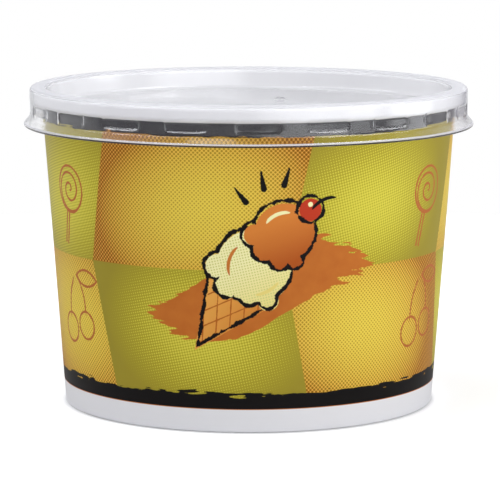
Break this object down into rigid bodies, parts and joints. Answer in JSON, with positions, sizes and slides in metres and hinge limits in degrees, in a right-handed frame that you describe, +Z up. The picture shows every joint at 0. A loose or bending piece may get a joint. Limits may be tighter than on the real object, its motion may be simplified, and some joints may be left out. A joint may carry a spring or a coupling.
{
  "type": "paper dessert cup",
  "caption": "Squat round coated-paper dessert cup with a rolled rim, a recessed base and a clear plastic lid whose lugged skirt snaps over the rim.",
  "frame": {"origin": "centre of the foot ring, on the surface that the cup stands on", "axes": "+Z up along the cup's axis; the front is towards -Y and the side seam is at the back, towards +Y"},
  "size_m": [0.1024, 0.1024, 0.072],
  "materials": {
    "printed_board": "satin",
    "plain_board": "satin",
    "clear_plastic": "gloss"
  },
  "bodies": {
    "cup_body": {"side_wall": "printed_board", "base_disc": "plain_board"},
    "lid_body": {"lid": "clear_plastic"}
  },
  "joints": [
    {"name": "lid_lift", "type": "slide", "parent": "cup_body", "child": "lid_body", "axis": [0, 0, 1], "range_m": [0, 0.05]}
  ]
}
